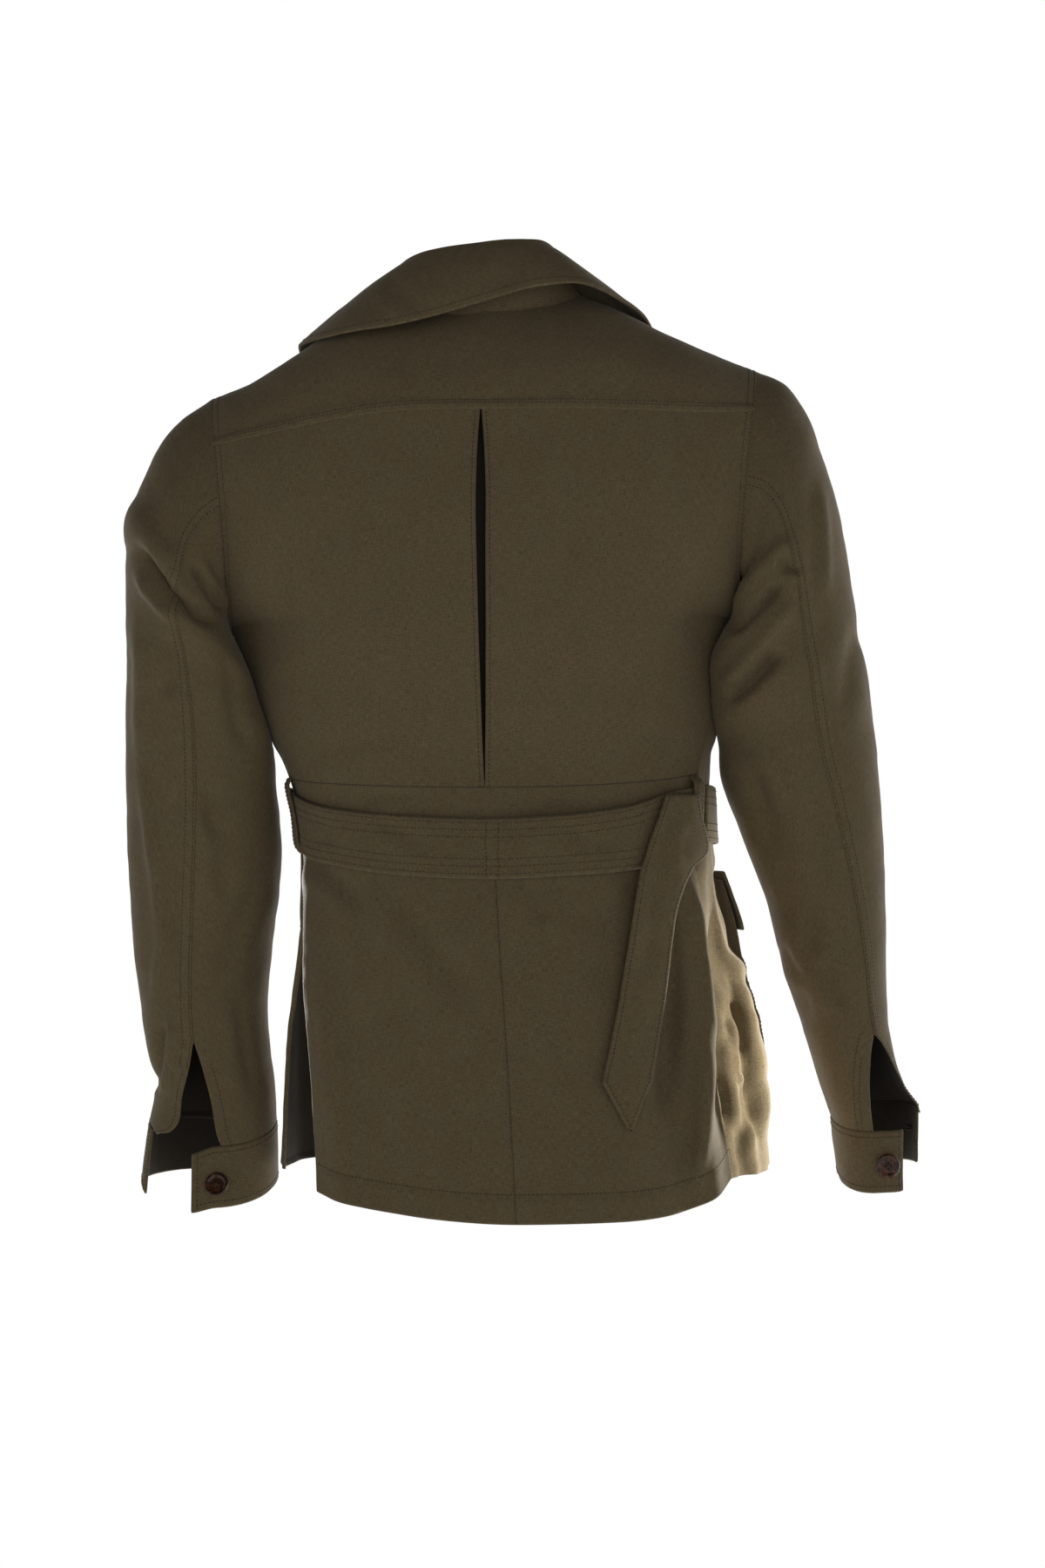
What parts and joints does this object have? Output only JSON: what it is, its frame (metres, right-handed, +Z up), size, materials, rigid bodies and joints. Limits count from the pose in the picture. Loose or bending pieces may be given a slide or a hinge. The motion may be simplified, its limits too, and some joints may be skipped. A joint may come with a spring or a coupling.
{
  "type": "belted jacket",
  "caption": "Belted linen jacket in worn form, open at neck, cuffs and hem, with a pleated yoked back, turned-down collar, long open cuffs and a tied belt end at the back.",
  "frame": {"origin": "on the centre line between the shoulders, level with them, where the shoulders of a wearer carry the jacket", "axes": "+Z up, +Y out of the back of the jacket, +X towards the wearer's left"},
  "size_m": [0.6514, 0.2534, 0.7762],
  "materials": {
    "linen": "matte plain weave",
    "horn": "polished, mottled"
  },
  "bodies": {
    "root": {"back_left": "linen", "back_pleat": "linen", "back_right": "linen", "belt_back": "linen", "belt_front": "linen", "belt_loop_left": "linen", "belt_loop_right": "linen", "belt_tail": "linen", "collar": "linen", "cuff_button_left": "horn", "cuff_button_right": "horn", "cuff_left": "linen", "cuff_right": "linen", "flap_button_left": "horn", "flap_button_right": "horn", "flap_left": "linen", "flap_right": "linen", "front_button_1": "horn", "front_button_2": "horn", "front_button_3": "horn", "front_button_4": "horn", "front_left": "linen", "front_right": "linen", "front_skirt_left": "linen", "front_skirt_right": "linen", "lapel_left": "linen", "lapel_right": "linen", "pocket_left": "linen", "pocket_right": "linen", "skirt_back_left": "linen", "skirt_back_right": "linen", "sleeve_top_left": "linen", "sleeve_top_right": "linen", "sleeve_under_left": "linen", "sleeve_under_right": "linen", "waistband_back": "linen", "yoke": "linen"}
  },
  "joints": []
}
